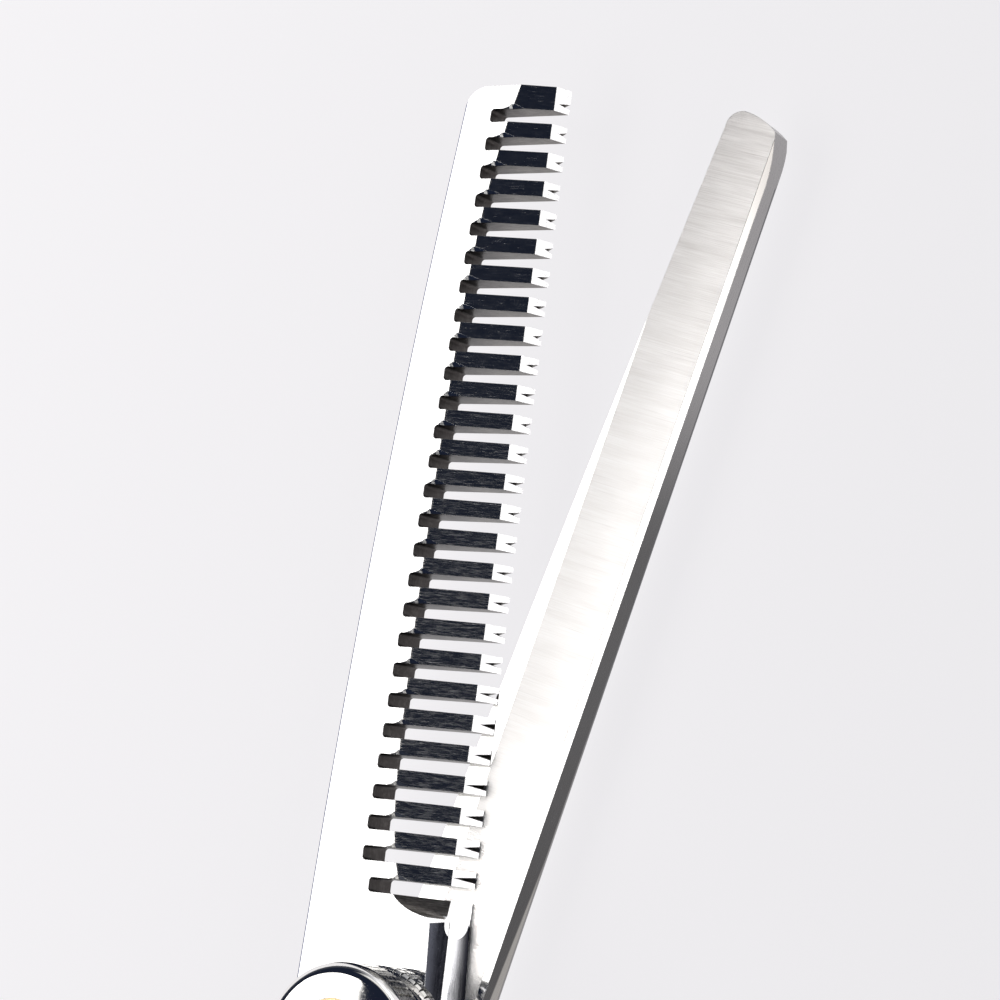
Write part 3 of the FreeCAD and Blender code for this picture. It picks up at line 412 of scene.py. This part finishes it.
# painted shade down at the wall's foot and a painted highlight at its crest
HEEL_SHADE = (0.010, 0.010, 0.014)
HEEL_HIGHLIGHT = (0.92, 0.91, 0.92)
HEEL_UNEVEN = (-0.04, 0.04)          # of the wall's height
HEEL_FALL = 2.6                      # power with which the painted highlight falls off from the crest
HEEL_ROUGH = (0.18, 0.32)
HEEL_STRENGTH = 0.3


def heel_wall(turn):
    """The rounded wall under the heel's edge: a painted highlight at its crest, painted shade down to
    the inner face.
    """
    g = Surface("heel_wall")
    place = g.blade_place(turn)
    _, _, height = g.split(place)
    grain = g.marks(place, (6.0, 0.7, 6.0), 4)
    rise = g.scale(height, TOP_INNER_Z, TOP_INNER_Z + HEEL_WALL_TOP, smooth=False)
    rise = g.math("ADD", rise, g.scale(grain, *GRAIN_BAND, *HEEL_UNEVEN), clamp=True)
    return g.set(Base_Color=g.mix(g.math("POWER", rise, HEEL_FALL), HEEL_SHADE, HEEL_HIGHLIGHT),
                 Roughness=g.scale(grain, *GRAIN_BAND, *HEEL_ROUGH),
                 Normal=g.bump(grain, FINE, HEEL_STRENGTH, EDGE_R))


BEVEL_COLOUR = (0.97, 0.96, 0.95)
BEVEL_ROUGH = (0.16, 0.30)
BEVEL_STRENGTH = 0.2


def tip_bevel(turn):
    """The bright bevel on the tooth ends."""
    g = Surface("tip_bevel")
    grain = g.marks(g.blade_place(turn), (3.0, 20.0, 3.0), 3, roughness=0.5)
    return g.set(Base_Color=BEVEL_COLOUR, Roughness=g.scale(grain, *GRAIN_BAND, *BEVEL_ROUGH),
                 Normal=g.bump(grain, FINE, BEVEL_STRENGTH))


# painted light along the blade: the brushed face is darker at the tip and brighter toward the pivot
BRUSHED_TIP = ((0.73, 0.705, 0.69), (0.93, 0.91, 0.90))
BRUSHED_LOW = ((0.90, 0.88, 0.865), (0.99, 0.98, 0.975))
BRUSHED_BAND = (0.40, 0.60)
BRUSHED_LIGHT_Y = (66.0, 40.0)        # painted light: from the tip's darker tones to the brighter lower ones
BRUSHED_ROUGH = (0.42, 0.32)
BRUSHED_GLOSS_Y = (9.0, 26.0)        # near the pivot the face is glossier
BRUSHED_GLOSS = 0.4
BRUSHED_STRENGTH = 0.35
# shares of the brush lines, the fine lines and the broad bands in the tone
LINE_SHARE = 0.45
FINE_SHARE = 0.35
BAND_SHARE = 0.2
DEEP_BAND = (0.62, 0.80)
DEEP_COLOUR = (0.42, 0.40, 0.385)
DEEP_SHARE = 0.22
DEEP_DEPTH = 0.4
RIDE_EDGE = 0.02
# painted reflection on the ride lines: dark at the tip, bright toward the pivot
RIDE_TIP = (0.40, 0.385, 0.375)
RIDE_LOW = (0.93, 0.925, 0.92)
RIDE_LIGHT_Y = (64.0, 46.0)
RIDE_ROUGHNESS = 0.06


def brushed_inner(turn, ride_left, ride_right):
    """Inner face: brushed straight across between two polished ride lines; painted light makes both
    brighter toward the pivot.
    """
    g = Surface("brushed_inner")
    place = g.blade_place(turn)
    across, along, _ = g.split(place)
    lines = g.marks(place, (0.14, 34.0, 1.0), 3, variant=1)
    fine = g.marks(place, (0.5, 70.0, 1.0), 2, roughness=0.5, variant=-1)
    bands = g.marks(place, (0.10, 1.0, 1.0), 3, roughness=0.5, variant=-1)
    deep = g.scale(g.marks(place, (0.16, 9.0, 1.0), 2, roughness=0.4, variant=4), *DEEP_BAND)
    tone = g.total(g.math("MULTIPLY", lines, LINE_SHARE), g.math("MULTIPLY", fine, FINE_SHARE),
                   g.math("MULTIPLY", bands, BAND_SHARE))
    bright = g.scale(tone, *BRUSHED_BAND)
    tip = g.mix(bright, *BRUSHED_TIP)
    low = g.mix(bright, *BRUSHED_LOW)
    shade = g.mix(g.scale(along, *BRUSHED_LIGHT_Y), tip, low)
    shade = g.mix(g.math("MULTIPLY", deep, DEEP_SHARE), shade, DEEP_COLOUR)
    rides = g.math("MAXIMUM", g.scale(across, ride_left + RIDE_EDGE, ride_left - RIDE_EDGE),
                   g.scale(across, ride_right - RIDE_EDGE, ride_right + RIDE_EDGE))
    shade = g.mix(rides, shade, g.mix(g.scale(along, *RIDE_LIGHT_Y), RIDE_TIP, RIDE_LOW))
    brushed = g.math("SUBTRACT", 1.0, rides)
    rough = g.math("MULTIPLY", g.scale(tone, *GRAIN_BAND, *BRUSHED_ROUGH), brushed)
    rough = g.math("MULTIPLY", rough, g.scale(along, *BRUSHED_GLOSS_Y, BRUSHED_GLOSS, 1.0))
    height = g.math("SUBTRACT", tone, g.math("MULTIPLY", deep, DEEP_DEPTH))
    height = g.math("MULTIPLY", height, brushed)
    return g.set(Base_Color=shade, Roughness=g.total(rough, RIDE_ROUGHNESS),
                 Normal=g.bump(height, FINE, BRUSHED_STRENGTH, EDGE_R))


WALL_HEEL = (0.068, 0.066, 0.066)
WALL_MIDDLE = (0.095, 0.093, 0.093)
WALL_TIP = (0.335, 0.325, 0.325)
WALL_HEEL_Y = (10.0, 34.0)
WALL_TIP_Y = (36.0, 52.0)
# below a height the wall is paler: these at the pivot, and less by a share of Y along the blade
WALL_PALE = (0.36, 0.345, 0.32)
WALL_PALE_Z = (2.72, 2.48)
WALL_PALE_FALL = 0.09
BELT_LIGHT = (0.75, 0.75, 0.74)
BELT_SHARE = 0.35
BELT_ROUGH = (0.22, 0.38)
BELT_STRENGTH = 0.35
WALL_SPECK = (0.45, 0.44, 0.43)
WALL_SPECK_BAND = (0.62, 0.78)
WALL_SPECK_SHARE = 0.25


def ground_wall(turn):
    """The spine's side wall: lengthwise belt marks, darker toward the heel, where its foot is pale."""
    g = Surface("ground_wall")
    place = g.blade_place(turn)
    _, along, height = g.split(place)
    belt = g.marks(place, (6.0, 0.8, 14.0), 4)
    specks = g.marks(place, (7.0, 7.0, 7.0), 3, roughness=0.7)
    shade = g.mix(g.scale(along, *WALL_HEEL_Y), WALL_HEEL, WALL_MIDDLE)
    shade = g.mix(g.scale(along, *WALL_TIP_Y), shade, WALL_TIP)
    rise = g.total(height, g.math("MULTIPLY", along, WALL_PALE_FALL))
    shade = g.mix(g.scale(rise, *WALL_PALE_Z), shade, WALL_PALE)
    shade = g.mix(g.scale(belt, *GRAIN_BAND, 0.0, BELT_SHARE), shade, BELT_LIGHT, "SOFT_LIGHT")
    shade = g.mix(g.scale(specks, *WALL_SPECK_BAND, 0.0, WALL_SPECK_SHARE), shade, WALL_SPECK)
    return g.set(Base_Color=shade, Roughness=g.scale(belt, *GRAIN_BAND, *BELT_ROUGH),
                 Normal=g.bump(belt, FINE, BELT_STRENGTH, EDGE_R))


# painted reflections: the rounding's upper part darker and its lower part pale, all of it dark toward
# the tip
ROUND_HIGH = (0.20, 0.19, 0.185)
ROUND_LOW = (0.66, 0.64, 0.62)
ROUND_Z = (0.9, 0.35)
ROUND_TIP = (0.045, 0.044, 0.05)
ROUND_TIP_Y = (16.0, 30.0)
ROUND_GRAIN = (0.5, 0.49, 0.48)
ROUND_GRAIN_SHARE = 0.2
ROUND_ROUGH = (0.25, 0.4)
ROUND_STRENGTH = 0.3


def spine_rounding(turn):
    """Rounded satin outer corner of the spine, with painted reflections: pale low down at the heel,
    dark toward the tip.
    """
    g = Surface("spine_rounding")
    place = g.blade_place(turn)
    _, along, height = g.split(place)
    grain = g.marks(place, (7.0, 0.5, 7.0), 4)
    shade = g.mix(g.scale(height, *ROUND_Z), ROUND_HIGH, ROUND_LOW)
    shade = g.mix(g.scale(along, *ROUND_TIP_Y), shade, ROUND_TIP)
    shade = g.mix(g.scale(grain, *GRAIN_BAND, 0.0, ROUND_GRAIN_SHARE), shade, ROUND_GRAIN)
    return g.set(Base_Color=shade, Roughness=g.scale(grain, *GRAIN_BAND, *ROUND_ROUGH),
                 Normal=g.bump(grain, FINE, ROUND_STRENGTH))


CHROME_COLOUR = (0.93, 0.92, 0.90)
HAZE_PER_METRE = 900.0
HAZE_BAND = (0.35, 0.7)
HAZE_ROUGH = (0.03, 0.09)
HAZE_STRENGTH = 0.2
WEAR_PER_METRE = 4200.0
RUB_BAND = (0.6, 0.75)
WEAR_ROUGH = 0.12


def chrome():
    """Bright plating with haze and small rubs."""
    g = Surface("chrome")
    where = g.where()
    haze = g.noise(where, HAZE_PER_METRE, 3)
    wear = g.noise(where, WEAR_PER_METRE, 2, roughness=0.5)
    rough = g.total(g.scale(haze, *HAZE_BAND, *HAZE_ROUGH), g.scale(wear, *RUB_BAND, 0.0, WEAR_ROUGH))
    return g.set(Base_Color=CHROME_COLOUR, Roughness=rough,
                 Normal=g.bump(haze, SHALLOW, HAZE_STRENGTH, EDGE_R))


# painted shade down in the grooves between the ribs
GROOVE_SHADE = (0.10, 0.098, 0.09)
RIDGE_LOW = (0.50, 0.49, 0.46)
RIDGE_HIGH = (0.72, 0.71, 0.68)
RIDGE_FROM_R = 5.20 * MM             # radii between which a groove turns into a rib's crest
RIDGE_FULL_R = 5.43 * MM
GRIME_PER_METRE = 2600.0
GRIME_ROUGH = (0.18, 0.36)
GRIME_STRENGTH = 0.3


def rib_metal():
    """The ribs' worn plating, with painted shade down in the grooves."""
    g = Surface("rib_metal")
    where = g.where()
    grime = g.noise(where, GRIME_PER_METRE, 3)
    ridge = g.mix(g.scale(grime, *GRAIN_BAND), RIDGE_LOW, RIDGE_HIGH)
    crest = g.scale(g.reach(where), RIDGE_FROM_R, RIDGE_FULL_R)
    return g.set(Base_Color=g.mix(crest, GROOVE_SHADE, ridge),
                 Roughness=g.scale(grime, *GRAIN_BAND, *GRIME_ROUGH),
                 Normal=g.bump(grime, FINE, GRIME_STRENGTH))


HANDLE_LOW = (0.81, 0.81, 0.82)
HANDLE_HIGH = (0.88, 0.88, 0.885)
HANDLE_ROUGH = (0.06, 0.11)
HANDLE_STRENGTH = 0.15
RUBS_PER_METRE = 5200.0
RUB_ROUGH = 0.10


def handle_polish():
    """Buffed steel with long faint wheel marks and small rubs."""
    g = Surface("handle_polish")
    where = g.where()
    buff = g.marks(where, (900.0, 160.0, 900.0), 4)
    rubs = g.noise(where, RUBS_PER_METRE, 2, roughness=0.5)
    rough = g.total(g.scale(buff, *GRAIN_BAND, *HANDLE_ROUGH), g.scale(rubs, *RUB_BAND, 0.0, RUB_ROUGH))
    return g.set(Base_Color=g.mix(g.scale(buff, *GRAIN_BAND), HANDLE_LOW, HANDLE_HIGH),
                 Roughness=rough, Normal=g.bump(buff, SHALLOW, HANDLE_STRENGTH, EDGE_R))


METAL_GRAINS_PER_METRE = 2500.0
METAL_DARKER = 0.8                   # the grain's dark tone, as a share of the colour
METAL_SMOOTHER = 0.7                 # and the ends of its roughness
METAL_ROUGHER = 1.4
METAL_STRENGTH = 0.3


def plain_metal(name, colour, roughness):
    """Small metal pieces with a fine even grain."""
    g = Surface(name)
    grain = g.noise(g.where(), METAL_GRAINS_PER_METRE, 4)
    dark = tuple(part * METAL_DARKER for part in colour)
    rough = g.scale(grain, *GRAIN_BAND, roughness * METAL_SMOOTHER, roughness * METAL_ROUGHER)
    return g.set(Base_Color=g.mix(g.scale(grain, *GRAIN_BAND), dark, colour), Roughness=rough,
                 Normal=g.bump(grain, SHALLOW, METAL_STRENGTH))


RUBBER_GRAINS_PER_METRE = 3500.0
RUBBER_ROUGH = (0.5, 0.75)
RUBBER_STRENGTH = 0.5
DUST_PER_METRE = 420.0
DUST_BAND = (0.45, 0.75)
DUST_LIGHTER = 2.0                   # dusty rubber: so many times as light, and paler by a tone
DUST_TONE = 0.02


def rubber(name, colour):
    """Soft matt rubber with fine grain and a little dust."""
    g = Surface(name, metallic=0.0)
    where = g.where()
    grain = g.noise(where, RUBBER_GRAINS_PER_METRE, 3)
    dust = g.noise(where, DUST_PER_METRE, 4)
    dusty = tuple(part * DUST_LIGHTER + DUST_TONE for part in colour)
    return g.set(Base_Color=g.mix(g.scale(dust, *DUST_BAND), colour, dusty),
                 Roughness=g.scale(grain, *GRAIN_BAND, *RUBBER_ROUGH),
                 Normal=g.bump(grain, COARSE, RUBBER_STRENGTH))


# ---- which faces get which material --------------------------------------------------------------
# Parts of a face's unit normal, with the halves closed, at which one kind of face ends.
FLAT_UP = 0.5
FLAT_LEAN = 0.035                    # the outer face leans less than this toward the teeth
INNER_UP = -0.7
BEVEL_UP = 0.471                     # the bevel on the tooth ends slopes at 61.9 degrees
BEVEL_UP_SLACK = 0.003
BEVEL_ALONG_SLACK = 0.002
HEEL_RIGHT = 0.5
FACET_UP = 0.35
FLANK_UP = 0.3
FLANK_RIGHT = -0.5
BRUSHED_UP = 0.9
WALL_RIGHT = 0.3
ROUND_UP = -0.02
RIB_UP = 0.05


def paint(name, pick, materials):
    """Gives a node its materials and each of its faces the one that pick() names."""
    mesh = nodes[name].data
    mesh.materials.clear()
    for material in materials.values():
        mesh.materials.append(material)
    order = list(materials)
    for face in mesh.polygons:
        face.material_index = order.index(pick(face))


toothed_turn = Matrix.Rotation(math.radians(-HALF_OPENING), 3, "Z")
plain_turn = Matrix.Rotation(math.radians(HALF_OPENING), 3, "Z")


def toothed_region(face):
    n = toothed_turn @ face.normal
    c = toothed_turn @ face.center / MM
    above = c.z - TOP_INNER_Z
    if n.z > FLAT_UP and n.x < FLAT_LEAN:
        return "flat"
    if n.z < INNER_UP:
        return "inner"
    if abs(n.z - BEVEL_UP) < BEVEL_UP_SLACK and abs(n.y) < BEVEL_ALONG_SLACK and c.y > 0:
        return "bevel"
    if n.x > HEEL_RIGHT and HEEL_LOW_Y < c.y < HEEL_TOP_Y:
        if above > HEEL_CHAMFER_LOW:
            return "chamfer"
        return "bevel" if above > HEEL_WALL_TOP else "wall"
    if n.z > FACET_UP and HEEL_TOP_Y < c.y < LAST_SLOT_LOW_Y:
        return "ground" if above > HEEL_FACET_LOW else "bevel"
    if n.z > FACET_UP:
        return "facet"
    if abs(n.z) < FLANK_UP and c.y > TEETH_FROM_Y and n.x > FLANK_RIGHT:
        return "flank"
    return "flat"


def plain_region(face):
    n = plain_turn @ face.normal
    if n.z > BRUSHED_UP:
        return "brushed"
    if n.x > WALL_RIGHT:
        return "round" if n.z < ROUND_UP else "wall"
    return "outer"


def knob_region(face):
    across = math.hypot(face.center.x, face.center.y) / MM
    return "ribs" if abs(face.normal.z) < RIB_UP and across > RIB_ROOT_R else "smooth"


paint("toothed_blade", toothed_region, {
    "flat": polished_face(-HALF_OPENING),
    "facet": tooth_facet(-HALF_OPENING),
    "flank": tooth_flank(-HALF_OPENING),
    "bevel": tip_bevel(-HALF_OPENING),
    "inner": brushed_inner(-HALF_OPENING, *TOOTHED_RIDES),
    "ground": ground_facet(-HALF_OPENING),
    "chamfer": dark_chamfer(-HALF_OPENING),
    "wall": heel_wall(-HALF_OPENING),
})
paint("plain_blade", plain_region, {
    "brushed": brushed_inner(HALF_OPENING, *PLAIN_RIDES),
    "wall": ground_wall(HALF_OPENING),
    "round": spine_rounding(HALF_OPENING),
    "outer": polished_face(HALF_OPENING),
})
handle = handle_polish()
fastener = plain_metal("fastener", (0.70, 0.70, 0.71), 0.2)
bearing = plain_metal("bearing", (0.75, 0.75, 0.76), 0.12)
liner = rubber("liner", (0.035, 0.035, 0.038))
looks = {
    "thumb_handle": handle,
    "finger_handle": handle,
    "finger_rest": handle,
    "thumb_ring_liner": liner,
    "finger_ring_liner": liner,
    "bumper": rubber("bumper", (0.03, 0.03, 0.032)),
    "pivot_bolt": fastener,
    "finger_rest_stud": fastener,
    "retaining_screw": fastener,
    "bumper_stud": plain_metal("brass_insert", (0.75, 0.60, 0.30), 0.25),
    "pivot_bush": plain_metal("bronze", (0.66, 0.48, 0.26), 0.35),
    "blade_washer": plain_metal("ptfe", (0.85, 0.85, 0.83), 0.5),
    "knob_cap": plain_metal("gold", (0.80, 0.60, 0.33), 0.12),
    "thrust_race_lower": bearing,
    "thrust_race_upper": bearing,
    "bearing_balls": bearing,
    "ball_cage": plain_metal("cage", (0.74, 0.58, 0.30), 0.25),
    "click_spring": plain_metal("spring", (0.50, 0.50, 0.52), 0.2),
}
plating = {"smooth": chrome(), "ribs": rib_metal()}
for name in ("tension_knob", "detent_ring"):
    paint(name, knob_region, plating)
for name, material in looks.items():
    paint(name, lambda face: "all", {"all": material})
